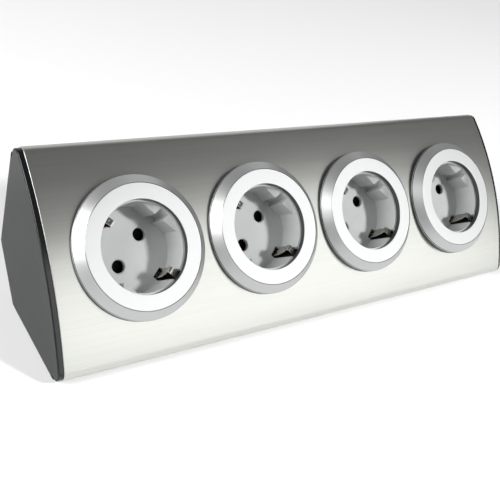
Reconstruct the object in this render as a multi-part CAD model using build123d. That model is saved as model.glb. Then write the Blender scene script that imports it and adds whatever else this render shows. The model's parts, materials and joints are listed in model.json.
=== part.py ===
from build123d import *
from math import atan2, cos, radians, sin, sqrt
import os

# A four-gang corner socket strip for furniture: a bent steel front over a chamfered rear
# cover, black end caps, and four two-pole sockets with side earth clips and pin shutters.
# Row frame: X along the strip, Y towards the wall behind it, Z up. The flat base is on Z = 0
# and the origin is under the middle of the strip. The front faces -Y and +Z at 45 degrees.

# Body, in millimetres
section = 77.0          # depth and height of the three-cornered section
front_radius = 180.0    # bulge of the front face
nose_radius = 5.0       # rounded bends at the top and at the front foot
front_sheet = 0.8
cover_sheet = 0.8
bend_radius = 1.0       # inside radius of the rear cover's bends
lap = 12.0              # width of the front's hidden flanges
lap_room = 4.0          # cleared over a flange where the section is cut open
seam_gap = 0.3          # between the rear cover's edge and the front's bend
spare = 1.0             # how far a cut runs past the solid that it cuts
sheet_cut = 8.0         # length of a cut that goes right through a sheet

# Row of sockets
socket_count = 4
ring_gap = 3.8          # between neighbouring trim rings
end_margin = 8.0        # from the last socket's share of the row to the end of the steel

# End caps and their plates
cap_rim = 2.4
cap_inset = 0.5         # how far the rim stays inside the steel's surface
cap_round = 0.7
spigot_depth = 8.0
spigot_wall = 1.8
spigot_gap = 0.15
plate_sheet = 0.8
plate_margin = 0.6
plate_play = 0.05
plate_proud = 0.15

# Fixings of the body
screw_radius = 1.15
screw_head_radius = 1.95
screw_head_height = 1.2
screw_play = 0.05
screw_length = 6.0
recess_width = 2.2      # across the cross in a screw's head
recess_blade = 0.5
recess_depth = 0.45
tip_room = 0.5          # of a cap's bore past the tip of its screw
nut_radius = 2.6
nut_height = 1.6
cap_screw_inset = 4.5   # from the end of the steel front
cap_screw_step = 7.0    # along each leg from the edge of the chamfer
cap_boss_radius = 3.2
cap_boss_height = 5.5
keyhole_radius = 4.2
keyhole_slot = 4.4
keyhole_travel = 8.0
keyhole_step = 16.0     # along each leg from the edge of the chamfer
keyhole_spacing = 142.0

# Cable inlet and terminal block on the chamfer
inlet_inset = 22.0      # from the end of the steel front
inlet_bore = 4.1
inlet_hole = 6.5
grommet_flange = 8.5
grommet_lip = 1.8
grommet_edge = 0.8
block_step = 30.0       # from the cable inlet
block_room = 4.4        # between the sockets' backs and the terminal block
block_length = 18.0
block_height = 11.0
block_screw_length = 3.3
pole_pitch = 8.0
pole_groove = 1.2
pole_groove_depth = 2.0
sleeve_radius = 2.4
sleeve_bore = 1.6
sleeve_length = 16.0
driver_play = 0.5       # round a terminal screw, for the screwdriver
terminal_screw_start = 1.2
terminal_screw_length = 3.8

# Socket fronts. Heights are measured along the face normal from the crest of the front.
ring_height = 5.1
ring_width = 4.3        # from its inner edge to its outside
ring_step = 2.8         # from the moulding behind it to its inner edge
ring_wall = 1.4
ring_edge = 0.25
ring_shoulder = 0.5
ring_under = 0.5        # cut away again where the ring sits on the bulged front
seat_play = 0.4         # between the ring's inner step and the moulding behind it
face_play = 0.3
face_thickness = 2.0
mouth_step = 0.85       # of the mouth outside the cup's edge
mouth_depth = 3.0
lip_wall = 1.5
cup_top_radius = 20.9
cup_taper = 0.4
cup_wall = 1.6
cup_depth = 17.5
cup_floor = 1.8
cup_rim = 1.5
cup_rim_play = 0.3
pin_spacing = 19.0
pin_hole = 3.1
pin_hole_edge = 0.5
pin_angle = 45.0        # of the pin line from +X, seen from the front
guide_flat = 17.8
guide_slot = 5.0
guide_chamfer = 3.0

# Inside of each socket
base_play = 2.2         # between the cup's wall and the moulding's wall
base_wall = 1.8
base_hole_play = 1.5    # between the moulding and the hole in the steel
base_flange_width = 8.0
base_flange_back = 6.5
flange_play = 0.05
deck = 1.4
deck_play = 0.1
well_radius = 4.6
well_wall = 0.9
window_play = 0.2
pin_length = 19.0
pin_room = 1.3
shutter_end_lap = 0.9   # of the shutter over a pin hole, along the pin line
shutter_side_lap = 1.1
shutter_over = 0.1      # how far the open shutter stands clear of the pins
shutter_thickness = 3.0
shutter_play = 0.2
shutter_ramp = 2.3
ramp_land = 1.2
rail_wall = 1.4
stop_wall = 1.2
stop_length = 8.0
post_length = 5.0
spring_length = 12.0
spring_radius = 1.2
spring_wire = 0.36
spring_turns = 8
spring_gap = 0.1
strap_play = 0.2
clip_sheet = 0.6
clip_width = 5.0
clip_side = 1.0         # free width beside a clip in its slots
clip_tongue = 3.0       # width of a clip at its bump
clip_taper_start = 5.4  # above the cup's floor
clip_taper = 5.5
clip_slit = 0.7         # two slits part the foot of a clip into three prongs
clip_prong = 3.0        # height of the slits above the cup's floor
clip_eye = 0.55         # hole in the folded end
clip_eye_inset = 2.2    # from the end's edge
clip_inset = 1.7        # of the clips where they rise through the floor
clip_reach = 16.6       # radius of their bumps, which touch the plug
clip_over = 0.5         # of their folded ends past the cup's edge
clip_room = 1.4
clip_port = 1.8
contact_bore = 2.35
contact_wall = 0.6
contact_slit = 0.8
contact_top = 0.6       # below the deck
arm_width = 3.0
terminal_width = 5.0
terminal_half_length = 4.0
earth_half_length = 3.2
terminal_under = 2.4    # of a clamp below the axis of its lower wire
phase_offset = 12.0     # of the live and neutral terminals from the socket's centre line
phase_width = 4.4
terminal_step = 6.0     # between a socket's two levels of wires
wire_radius = 1.4
wire_play = 0.15
core_radius = 0.75
core_play = 0.1
core_length = 3.0
core_depth = 1.0        # how far a feed wire starts inside its sleeve
feed_bend = 4.0
feed_straight = 9.0
feed_shift = 3.0
ring_screw_angles = (0, 90, 180, 270)
ring_screw_reach = 2.2
cup_screw_inset = 1.5   # from the edge of the cup's floor
cup_screw_spread = 23.0  # from the lower earth clip, to both sides
cup_boss_radius = 2.4
column_step = 0.2
tip_gap = 0.3           # left past a screw's tip in a blind bore

# Levels inside a socket
floor_top = ring_height - cup_depth
floor_back = floor_top - cup_floor
mouth_floor = ring_height - mouth_depth
deck_top = floor_back - shutter_thickness - 2 * shutter_play
deck_back = deck_top - deck
shutter_top = floor_back - shutter_play
strap_top = deck_back - strap_play
well_back = floor_top - pin_length - pin_room
base_back = base_wall - well_back
feed_level = base_back - base_wall - terminal_under - pin_room
terminal_level = feed_level - terminal_step
pin_reach = pin_spacing / 2
shutter_half_length = pin_reach + pin_hole + shutter_end_lap
shutter_half_width = pin_hole + shutter_side_lap
shutter_travel = pin_hole + shutter_half_width + shutter_over

# Radii of a socket, from the cup outwards
cup_floor_radius = cup_top_radius - cup_taper
cup_screw_circle = cup_floor_radius - cup_screw_inset
clip_root = cup_floor_radius - clip_inset
clip_tip = cup_top_radius + clip_over
clip_slot = clip_width + clip_side
mouth_radius = cup_top_radius + mouth_step
base_inside = cup_top_radius + cup_wall + base_play
base_radius = base_inside + base_wall
base_flange = base_radius + base_flange_width
cup_rim_radius = base_radius - cup_rim_play
ring_seat = base_radius + seat_play
panel_hole = base_radius + base_hole_play
ring_inner = base_radius + ring_step
ring_radius = ring_inner + ring_width
ring_screw_circle = (ring_inner + ring_radius) / 2
face_radius = ring_inner - face_play

# Places along and across the strip
socket_pitch = 2 * ring_radius + ring_gap
front_length = socket_count * socket_pitch + 2 * end_margin
front_end = front_length / 2
socket_places = [(k - (socket_count - 1) / 2) * socket_pitch for k in range(socket_count)]
cover_screw_places = [x + socket_pitch / 2 for x in socket_places[:-1]]
inlet_x = front_end - inlet_inset
block_x = inlet_x - block_step
half = section / 2
nose_foot = (-half + nose_radius, cover_sheet + nose_radius)
nose_top = (half - cover_sheet - nose_radius, section - nose_radius)
nose_across = (nose_foot[0] - half + nose_foot[1]) / sqrt(2)
nose_out = (half - nose_foot[0] + nose_foot[1]) / sqrt(2)
crest = nose_out + front_radius - sqrt((front_radius - nose_radius) ** 2 - nose_across**2)
crest_y = half - crest / sqrt(2)
crest_z = crest / sqrt(2)
arc_centre = (crest_y + front_radius / sqrt(2), crest_z - front_radius / sqrt(2))
chamfer_inside = base_back + block_room + block_height
chamfer_depth = crest - cover_sheet - chamfer_inside
corner_leg = chamfer_depth * sqrt(2)
cap_screw_height = corner_leg + cap_screw_step
keyhole_height = corner_leg + keyhole_step


def body_outline(inset):
    """The closed section, inset from the steel front's outer surface, flanges included."""
    bend = nose_radius - inset
    big = front_radius - inset
    leg = cover_sheet + inset
    back = leg * (sqrt(2) - 1)
    foot = atan2(nose_foot[1] - arc_centre[1], nose_foot[0] - arc_centre[0])
    top = atan2(nose_top[1] - arc_centre[1], nose_top[0] - arc_centre[0])

    def arc(centre, radius, start, end):
        points = []
        for angle in (start, (start + end) / 2, end):
            points.append((centre[0] + radius * cos(angle), centre[1] + radius * sin(angle)))
        return ThreePointArc(*points)

    foot_arc = arc(nose_foot, bend, radians(270), foot % radians(360))
    face_arc = arc(arc_centre, big, foot % radians(360), top)
    top_arc = arc(nose_top, bend, top, 0)
    rear = (half - leg, corner_leg + back)
    low = (half - corner_leg - back, leg)
    lines = [Line(top_arc @ 1, rear), Line(rear, low), Line(low, foot_arc @ 0)]
    return make_face(Curve() + [foot_arc, face_arc, top_arc] + lines)


def along_strip(face, start, length):
    """The section face drawn out along X from start."""
    return Pos(start, 0, 0) * extrude(Plane.YZ * face, length)


def mirrored_leg(part):
    """The same thing on the other leg: bottom and back swap about the 45 degree plane."""
    plane = Plane(origin=(0, half, 0), z_dir=(0, 1, 1))
    return mirror(part, plane)


def both_legs(part):
    return [part, mirrored_leg(part)]


def screw_spots():
    """Cover screws on the bottom leg: the middle of the lapped flange."""
    return [(x, nose_foot[0] + lap / 2) for x in cover_screw_places]


def cap_spots():
    """End cap screws on the bottom leg."""
    x = front_end - cap_screw_inset
    return [(side * x, half - cap_screw_height) for side in (-1, 1)]


def cross_recess(at):
    """Cut for the screwdriver in a head whose face is at the given height."""
    deep = 2 * recess_depth
    cross = Box(recess_width, recess_blade, deep) + Box(recess_blade, recess_width, deep)
    return Pos(0, 0, at) * cross


def countersunk(length, play=0.0):
    """A countersunk screw pointing up from Z = 0, or its hole when play is given."""
    shank = screw_radius + play
    head = screw_head_radius + play
    profile = Polyline((0, 0), (head, 0), (shank, head - shank), (shank, length), (0, length), close=True)
    screw = revolve(Plane.XZ * make_face(profile), Axis.Z)
    return screw if play else screw - cross_recess(0)


def round_screw(length):
    """Pan-head screw pointing up from the underside of its head at Z = 0."""
    head = Pos(0, 0, -screw_head_height / 2) * Cylinder(screw_head_radius, screw_head_height)
    screw = head + Pos(0, 0, length / 2) * Cylinder(screw_radius, length)
    return screw - cross_recess(-screw_head_height)


def screw_bore(length):
    """A plain bore for a screw's shank, centred on Z = 0."""
    return Cylinder(screw_radius + screw_play, length)


def chamfer_frame(x):
    """Place on the chamfer's outer face at x, pointing into the body."""
    origin = (x, half - corner_leg / 2, corner_leg / 2)
    return Plane(origin=origin, x_dir=(1, 0, 0), z_dir=(0, -1, 1)).location


def face_frame(x):
    """Place on the crest of the front at x, pointing out of the face."""
    return Plane(origin=(x, crest_y, crest_z), x_dir=(1, 0, 0), z_dir=(0, -1, 1)).location


def panel_core(offset=0.0):
    """The solid inside the bulged front, seen from a socket's own frame."""
    radius = front_radius + offset
    return Pos(0, 0, -front_radius) * Rot(0, 90, 0) * Cylinder(radius, 4 * ring_radius)


def ring_screw_holes():
    """Bores for the four screws of the trim ring, blind in the ring, seen from the crest."""
    length = base_flange_back + ring_screw_reach + 2 * spare
    bore = Pos(ring_screw_circle, 0, ring_screw_reach - length / 2) * screw_bore(length)
    return Part() + [turned(bore, angle) for angle in ring_screw_angles]


def keyhole():
    """Cut for a screw head on the bottom leg, with its narrow slot towards the front."""
    y = half - keyhole_height
    cut = Pos(0, y, 0) * Cylinder(keyhole_radius, sheet_cut)
    cut += Pos(0, y - keyhole_travel / 2, 0) * Box(keyhole_slot, keyhole_travel, sheet_cut)
    cut += Pos(0, y - keyhole_travel, 0) * Cylinder(keyhole_slot / 2, sheet_cut)
    return cut


def make_front_shell():
    """Bent steel front with four round openings and the two flanges behind its noses."""
    shell = along_strip(body_outline(0) - body_outline(front_sheet), -front_end, front_length)
    edge = nose_foot[0] + lap
    over = cover_sheet + front_sheet + lap_room
    outline = [
        (edge, -spare),
        (section, -spare),
        (section, half - edge),
        (half - over, half - edge),
        (edge, over),
    ]
    cut = make_face(Polyline(*outline, close=True))
    shell -= along_strip(cut, -front_length, 2 * front_length)
    hole = Cylinder(panel_hole, ring_radius) + ring_screw_holes()
    for x in socket_places:
        shell -= face_frame(x) * hole
    for x, y in screw_spots() + cap_spots():
        for cut in both_legs(Pos(x, y, 0) * screw_bore(sheet_cut)):
            shell -= cut
    return shell


def cover_band(thickness):
    """Section of the rear cover: two legs and the chamfer between them."""
    start = nose_foot[0] + seam_gap
    back = thickness * (sqrt(2) - 1)
    outer = [(start, 0), (half - corner_leg, 0), (half, corner_leg), (half, half - start)]
    inner = [
        (half - thickness, half - start),
        (half - thickness, corner_leg + back),
        (half - corner_leg - back, thickness),
        (start, thickness),
    ]
    face = make_face(Polyline(*(outer + inner), close=True))
    for places, radius in ((outer[1:3], bend_radius + thickness), (inner[1:3], bend_radius)):
        corners = [face.vertices().sort_by_distance((y, z, 0))[0] for y, z in places]
        face = fillet(corners, radius)
    return face


def make_rear_cover():
    """Bent cover with its screw holes, keyholes, cable inlet and the block's screw hole."""
    cover = along_strip(cover_band(cover_sheet), -front_end, front_length)
    for x, y in screw_spots() + cap_spots():
        for cut in both_legs(Pos(x, y, 0) * countersunk(sheet_cut, screw_play)):
            cover -= cut
    for side in (-1, 1):
        for cut in both_legs(Pos(side * keyhole_spacing / 2, 0, 0) * keyhole()):
            cover -= cut
    cover -= chamfer_frame(inlet_x) * Cylinder(inlet_hole, sheet_cut)
    cover -= chamfer_frame(block_x) * countersunk(sheet_cut, screw_play)
    return cover


def cap_outline():
    """Outline of an end cap: inside the steel at the front, flush with the rear cover."""
    start = nose_foot[0] + seam_gap
    corners = [(half - corner_leg, 0), (half, corner_leg)]
    legs = make_face(
        Polyline((start, 0), corners[0], corners[1], (half, half - start), (0, half), close=True)
    )
    ends = [legs.vertices().sort_by_distance((y, z, 0))[0] for y, z in corners]
    legs = fillet(ends, bend_radius + cover_sheet)
    return body_outline(cap_inset) + legs


def make_end_cap():
    """Right-hand cap: rim, recess for the plate, spigot and two screw bosses."""
    rim = along_strip(cap_outline(), front_end, cap_rim)
    rim = fillet(rim.faces().sort_by(Axis.X)[-1].outer_wire().edges(), cap_round)
    recess = plate_sheet - plate_proud
    pocket = offset(cap_outline(), -plate_margin)
    rim -= along_strip(pocket, front_end + cap_rim - recess, recess + spare)
    fit = front_sheet + spigot_gap
    wall = body_outline(fit) - body_outline(fit + spigot_wall)
    cap = rim + along_strip(wall, front_end - spigot_depth, spigot_depth)
    x, y = cap_spots()[1]
    low = cover_sheet + fit
    boss = Pos(x, y, low + cap_boss_height / 2) * Cylinder(cap_boss_radius, cap_boss_height)
    for part in both_legs(boss):
        cap += part
    for part in both_legs(Pos(x, y, 0) * screw_bore(2 * (screw_length + tip_room))):
        cap -= part
    return cap


def make_end_plate():
    """Thin steel plate set into the cap."""
    face = offset(cap_outline(), -plate_margin - plate_play)
    return along_strip(face, front_end + cap_rim - plate_sheet + plate_proud, plate_sheet)


def make_cover_screws():
    screws = []
    for x, y in screw_spots():
        screws += both_legs(Pos(x, y, 0) * countersunk(screw_length))
    return screws


def make_cap_screws():
    screws = []
    for x, y in cap_spots():
        screws += both_legs(Pos(x, y, 0) * countersunk(screw_length))
    return screws


def make_clinch_nuts():
    """Round pressed-in nuts on the inner side of both flanges."""
    middle = cover_sheet + front_sheet + nut_height / 2
    ring = Cylinder(nut_radius, nut_height) - screw_bore(nut_height)
    nuts = []
    for x, y in screw_spots():
        nuts += both_legs(Pos(x, y, middle) * ring)
    return nuts


def make_cable_grommet():
    """Rubber ring in the chamfer, with a lip on each side of the sheet."""
    lip_in = cover_sheet + grommet_lip
    rounded = grommet_flange - grommet_edge
    profile = Polyline(
        (inlet_bore, -grommet_lip),
        (rounded, -grommet_lip),
        (grommet_flange, -grommet_lip + grommet_edge),
        (grommet_flange, 0),
        (inlet_hole, 0),
        (inlet_hole, cover_sheet),
        (grommet_flange, cover_sheet),
        (grommet_flange, lip_in - grommet_edge),
        (rounded, lip_in),
        (inlet_bore, lip_in),
        close=True,
    )
    return chamfer_frame(inlet_x) * revolve(Plane.XZ * make_face(profile), Axis.Z)


def pole_lines():
    return [(k - 1) * pole_pitch for k in range(3)]


def pole_level():
    """Height of the terminal sleeves above the chamfer's outer face."""
    return cover_sheet + block_height / 2


def sleeve_screw_places():
    return [-block_length / 4, block_length / 4]


def make_terminal_block():
    """Three-pole block screwed to the inside of the chamfer, poles side by side."""
    width = 3 * pole_pitch
    body = Pos(0, 0, pole_level()) * Box(block_length, width, block_height)
    for v in pole_lines():
        body -= Pos(0, v, pole_level()) * Rot(0, 90, 0) * Cylinder(sleeve_radius, block_length)
        for x in sleeve_screw_places():
            shaft = Cylinder(screw_radius + driver_play, block_height)
            body -= Pos(x, v, pole_level() + block_height / 2) * shaft
    for v in (-pole_pitch / 2, pole_pitch / 2):
        groove = Box(block_length, pole_groove, 2 * pole_groove_depth)
        body -= Pos(0, v, cover_sheet + block_height) * groove
    body -= screw_bore(2 * (block_screw_length + tip_gap))
    return chamfer_frame(block_x) * body


def make_terminal_sleeves():
    tube = Cylinder(sleeve_radius, sleeve_length) - Cylinder(sleeve_bore, sleeve_length)
    sleeve = Rot(0, 90, 0) * tube
    for x in sleeve_screw_places():
        sleeve -= Pos(x, 0, sleeve_radius) * screw_bore(2 * sleeve_radius)
    return [chamfer_frame(block_x) * Pos(0, v, pole_level()) * sleeve for v in pole_lines()]


def make_terminal_screws():
    """Headless screws that press the wires down in their sleeves."""
    top = terminal_screw_start + terminal_screw_length
    screw = Pos(0, 0, top - terminal_screw_length / 2) * Cylinder(screw_radius, terminal_screw_length)
    screw -= Pos(0, 0, top) * Box(2 * screw_radius + spare, recess_blade, 2 * recess_depth)
    spots = [(x, v) for v in pole_lines() for x in sleeve_screw_places()]
    return [chamfer_frame(block_x) * Pos(x, v, pole_level()) * screw for x, v in spots]


def make_block_screw():
    return chamfer_frame(block_x) * countersunk(block_screw_length)


def make_trim_ring():
    """Cast ring round a socket, cut underneath to sit on the bulged front."""
    low = sqrt(front_radius**2 - ring_radius**2) - front_radius - ring_under
    step = ring_height - face_thickness
    outline = [
        (ring_seat, low),
        (ring_radius, low),
        (ring_radius, ring_wall),
        (ring_inner + ring_edge, ring_height),
        (ring_inner, ring_height - ring_edge),
        (ring_inner, step),
        (ring_seat, step),
    ]
    face = make_face(Polyline(*outline, close=True))
    shoulder = face.vertices().sort_by_distance((ring_radius, ring_wall, 0))[0]
    face = fillet(shoulder, ring_shoulder)
    ring = revolve(Plane.XZ * face, Axis.Z) - panel_core()
    return ring - ring_screw_holes()


def make_face_ring():
    """Flat silver ring with the rounded mouth of the recess."""
    low = ring_height - face_thickness
    outline = [
        (mouth_radius, mouth_floor),
        (mouth_radius + lip_wall, mouth_floor),
        (mouth_radius + lip_wall, low),
        (face_radius, low),
        (face_radius, ring_height - ring_edge),
        (face_radius - ring_edge, ring_height),
        (mouth_radius + ring_edge, ring_height),
        (mouth_radius, ring_height - ring_edge),
    ]
    return revolve(Plane.XZ * make_face(Polyline(*outline, close=True)), Axis.Z)


def turned(part, angle):
    return Rot(0, 0, angle) * part


def pin_places():
    angle = radians(pin_angle)
    return [(side * pin_reach * cos(angle), side * pin_reach * sin(angle)) for side in (1, -1)]


def cup_screw_places():
    """Two screws on the lower right half, clear of the shutter."""
    middle = pin_angle - 90
    angles = (middle - cup_screw_spread, middle + cup_screw_spread)
    return [Rot(0, 0, angle) * Pos(cup_screw_circle, 0, 0) for angle in angles]


def cup_guide():
    """One grooved guide flat of a cup, on +X, with a sloped lead-in at the mouth."""
    height = mouth_floor - floor_top
    middle = floor_top + height / 2
    outside = cup_top_radius + cup_wall / 2
    depth = outside - guide_flat
    rib = Pos(guide_flat + depth / 2, 0, middle) * Box(depth, 2 * outside, height)
    rib &= Pos(0, 0, middle) * Cylinder(outside, height)
    rib -= Pos(guide_flat + depth / 2, 0, middle) * Box(depth, guide_slot, height)
    slope = Polyline(
        (guide_flat - spare, mouth_floor - guide_chamfer - spare),
        (guide_flat + guide_chamfer + spare, mouth_floor + spare),
        (guide_flat - spare, mouth_floor + spare),
        close=True,
    )
    return rib - extrude(Plane.XZ * make_face(slope), 2 * outside, both=True)


def make_cup():
    """Grey cup of a socket: tapered wall, floor with pin holes, guide flats, clip slots."""
    outside = cup_top_radius + cup_wall
    outline = [
        (0, floor_back),
        (cup_floor_radius + cup_wall, floor_back),
        (outside, mouth_floor - cup_rim),
        (cup_rim_radius, mouth_floor - cup_rim),
        (cup_rim_radius, mouth_floor),
        (cup_top_radius, mouth_floor),
        (cup_floor_radius, floor_top),
        (0, floor_top),
    ]
    cup = revolve(Plane.XZ * make_face(Polyline(*outline, close=True)), Axis.Z)
    for side in (0, 180):
        cup += turned(cup_guide(), pin_angle + side)
    for x, y in pin_places():
        cup -= Pos(x, y, floor_top - cup_floor / 2) * Cylinder(pin_hole, cup_floor)
        edge = Cone(pin_hole, pin_hole + pin_hole_edge, pin_hole_edge)
        cup -= Pos(x, y, floor_top - pin_hole_edge / 2) * edge
    start, end = clip_root - clip_room, outside + clip_room
    tall = mouth_floor - floor_back + 2 * spare
    slot = Pos((start + end) / 2, 0, mouth_floor + spare - tall / 2) * Box(end - start, clip_slot, tall)
    for side in (90, 270):
        cup -= turned(slot, pin_angle + side)
    length = floor_back - deck_top
    for spot in cup_screw_places():
        cup += spot * Pos(0, 0, floor_back - length / 2) * Cylinder(cup_boss_radius, length)
        cup -= spot * Pos(0, 0, deck_top) * screw_bore(2 * (length + spare))
    return cup


def deck_stops():
    """Rails beside the shutter, the stop in front of it and the post behind its spring."""
    tall = floor_back - deck_play - deck_top
    level = deck_top + tall / 2
    run = 2 * shutter_half_width + shutter_travel + shutter_play
    rail_x = shutter_half_length + shutter_play + rail_wall / 2
    stop_y = -shutter_half_width - deck_play - stop_wall / 2
    post_y = shutter_half_width + spring_length + rail_wall / 2
    parts = [
        Pos(side * rail_x, shutter_travel / 2, level) * Box(rail_wall, run, tall) for side in (-1, 1)
    ]
    parts.append(Pos(0, stop_y, level) * Box(stop_length, stop_wall, tall))
    parts.append(Pos(0, post_y, level) * Box(post_length, rail_wall, tall))
    return [turned(part, pin_angle) for part in parts]


def make_contact_base():
    """Rear moulding: clamp flange, shutter deck with rails, pin wells and cable ports."""
    rim = mouth_floor - cup_rim
    middle = spare - base_flange_back / 2
    flange = Pos(0, 0, middle) * Cylinder(base_flange, base_flange_back + 2 * spare)
    flange = flange & panel_core(-front_sheet - flange_play)
    flange -= Pos(0, 0, -base_flange_back - spare) * Cylinder(base_flange, 2 * spare)
    base = Pos(0, 0, (rim - base_back) / 2) * Cylinder(base_radius, rim + base_back) + flange
    upper = rim - deck_top
    base -= Pos(0, 0, rim - upper / 2) * Cylinder(base_inside, upper)
    lower = deck_back + base_back - base_wall
    base -= Pos(0, 0, deck_back - lower / 2) * Cylinder(base_inside, lower)
    for x, y in pin_places():
        depth = deck_back - well_back
        base += Pos(x, y, deck_back - depth / 2) * Cylinder(well_radius, depth)
        well = Cylinder(well_radius - well_wall, deck_top - well_back)
        base -= Pos(x, y, (deck_top + well_back) / 2) * well
        side = 1 if y > 0 else -1
        wide = 2 * (terminal_half_length + window_play)
        window = Box(wide, 2 * well_radius, strap_top - well_back)
        base -= Pos(x, y + side * well_radius, (strap_top + well_back) / 2) * window
    for part in deck_stops():
        base += part
    for side in (90, 270):
        slot = Box(clip_port, clip_slot, deck + spare)
        base -= turned(Pos(clip_root, 0, deck_top - deck / 2) * slot, pin_angle + side)
    column = base_back + deck_back
    for spot in cup_screw_places():
        post = Cylinder(cup_boss_radius + column_step, column)
        base += spot * Pos(0, 0, deck_back - column / 2) * post
        base -= spot * Pos(0, 0, -base_back / 2) * screw_bore(base_back)
    base -= ring_screw_holes()
    port = Rot(0, 90, 0) * Cylinder(wire_radius + wire_play, 2 * (base_wall + spare))
    for level in (terminal_level, feed_level):
        for v in (-phase_offset, 0, phase_offset):
            reach = sqrt(base_radius**2 - v**2)
            for side in (-1, 1):
                base -= Pos(side * reach, v, -level) * port
    return base


def strip_face(points, thickness):
    """A bent strip's section: the centre line with its thickness set off to both sides."""
    left, right = [], []
    for k, (x, y) in enumerate(points):
        before = points[max(k - 1, 0)]
        after = points[min(k + 1, len(points) - 1)]
        into = Vector(x - before[0], y - before[1])
        out = Vector(after[0] - x, after[1] - y)
        into = into.normalized() if k else out.normalized()
        out = out.normalized() if k < len(points) - 1 else into
        normal = Vector(-into.Y - out.Y, into.X + out.X).normalized()
        reach = thickness / 2 / (normal.dot(Vector(-into.Y, into.X)))
        left.append((x + normal.X * reach, y + normal.Y * reach))
        right.append((x - normal.X * reach, y - normal.Y * reach))
    return make_face(Polyline(*(left + right[::-1]), close=True))


def core_bores(y):
    """Bores for the bare cores of a socket's two levels of wires."""
    bore = Rot(0, 90, 0) * Cylinder(core_radius + core_play, 2 * base_radius)
    return [Pos(0, y, -level) * bore for level in (terminal_level, feed_level)]


def make_earth_bracket():
    """Bent strap under the deck whose two ends rise into the cup as tapered spring clips."""
    level = strap_top - clip_sheet / 2
    bump = clip_reach + clip_sheet / 2
    side = [
        (clip_root, level),
        (clip_root, floor_top + 1.0),
        (bump + 0.9, -2.4),
        (bump + 0.1, -0.7),
        (bump, 0.1),
        (bump + 0.3, 0.9),
        (bump + 1.0, 1.3),
        (clip_tip, 0.6),
    ]
    points = [(-x, z) for x, z in side[::-1]] + side
    strip = extrude(Plane.XZ * strip_face(points, clip_sheet), clip_width / 2, both=True)
    taper_low = floor_top + clip_taper_start
    edge = [
        (clip_width / 2, level - spare),
        (clip_width / 2, taper_low),
        (clip_tongue / 2, taper_low + clip_taper),
        (clip_tongue / 2, ring_height),
    ]
    blank = Polyline(*([(-y, z) for y, z in edge[::-1]] + edge), close=True)
    strip &= extrude(Plane.YZ * make_face(blank), clip_tip + spare, both=True)
    tall = clip_prong + clip_room
    slit = Box(2 * (clip_tip - clip_reach), clip_slit, tall)
    slit_step = (clip_width + clip_slit) / 6
    for x in (-clip_tip, clip_tip):
        for y in (-slit_step, slit_step):
            strip -= Pos(x, y, floor_top - clip_room + tall / 2) * slit
    for x in (clip_eye_inset - clip_tip, clip_tip - clip_eye_inset):
        strip -= Pos(x, 0, ring_height / 2) * Cylinder(clip_eye, ring_height)
    bracket = turned(strip, pin_angle + 90)
    low = -feed_level - terminal_under
    top = strap_top - clip_sheet
    stem = Box(2 * earth_half_length, terminal_width, top - low)
    bracket += Pos(0, 0, (top + low) / 2) * stem
    for bore in core_bores(0):
        bracket -= bore
    return bracket


def make_pin_contacts():
    """Two slit sleeves, each with a clamp for the wires beside it."""
    contacts = []
    outer = contact_bore + contact_wall
    top = deck_back - contact_top
    low = -feed_level - terminal_under
    clamp_top = -terminal_level + terminal_under
    for x, y in pin_places():
        side = 1 if y > 0 else -1
        middle = Pos(x, y, (top + low) / 2)
        clamp_y = side * phase_offset
        arm = Box(arm_width, abs(clamp_y - y), arm_width)
        clamp = Box(2 * terminal_half_length, phase_width, clamp_top - low)
        contact = middle * Cylinder(outer, top - low)
        contact += Pos(x, (y + clamp_y) / 2, -terminal_level) * arm
        contact += Pos(x, clamp_y, (clamp_top + low) / 2) * clamp
        contact -= middle * Cylinder(contact_bore, top - low)
        slit = Pos(0, -outer, 0) * Box(contact_slit, outer, top - low)
        contact -= middle * turned(slit, pin_angle + 90 * side)
        for bore in core_bores(clamp_y):
            contact -= bore
        contacts.append(contact)
    return contacts


def make_shutter():
    """Sliding plate over both pin holes, with a ramp under each hole for the pins."""
    top = shutter_top
    block = Box(2 * shutter_half_length, 2 * shutter_half_width, shutter_thickness)
    plate = Pos(0, 0, top - shutter_thickness / 2) * block
    low_edge, high_edge = -shutter_half_width - spare, shutter_half_width - ramp_land
    ramp = Plane.YZ * make_face(
        Polyline(
            (low_edge, top - shutter_ramp),
            (high_edge, top),
            (high_edge, top + spare),
            (low_edge, top + spare),
            close=True,
        )
    )
    for side in (-1, 1):
        plate -= Pos(side * pin_reach, 0, 0) * extrude(ramp, pin_hole + pin_hole_edge, both=True)
    return turned(plate, pin_angle)


def make_shutter_spring():
    """Small wire spring between the shutter's edge and the post on the deck."""
    length = spring_length - 2 * spring_gap - spring_wire
    line = Helix(length / spring_turns, length, spring_radius)
    start = Plane(origin=line @ 0, z_dir=line % 0)
    wire = sweep(start * Circle(spring_wire / 2), path=line, is_frenet=True)
    wire = Pos(0, 0, spring_gap + spring_wire / 2) * wire
    level = shutter_top - shutter_thickness / 2
    laid = Pos(0, shutter_half_width, level) * Rot(-90, 0, 0) * wire
    return turned(laid, pin_angle)


def make_socket_screws():
    """Four screws that draw the trim ring to the base, and two that hold the cup."""
    screws = []
    for angle in ring_screw_angles:
        place = turned(Pos(ring_screw_circle, 0, -base_flange_back), angle)
        screws.append(place * round_screw(base_flange_back + ring_screw_reach - tip_gap))
    for spot in cup_screw_places():
        screws.append(spot * Pos(0, 0, -base_back) * round_screw(base_back + floor_back + tip_gap))
    return screws


def wire_tube(points):
    """Insulated wire along straight runs joined by arcs, with a bare core at both ends."""
    route = FilletPolyline(*points, radius=feed_bend) if len(points) > 2 else Line(*points)
    tube = sweep(Plane(origin=route @ 0, z_dir=route % 0) * Circle(wire_radius), path=route)
    for spot, way in ((route @ 0, (route % 0) * -1), (route @ 1, route % 1)):
        end = Plane(origin=spot, z_dir=way).location
        tube += end * Pos(0, 0, core_length / 2) * Cylinder(core_radius, core_length)
    return tube


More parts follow.
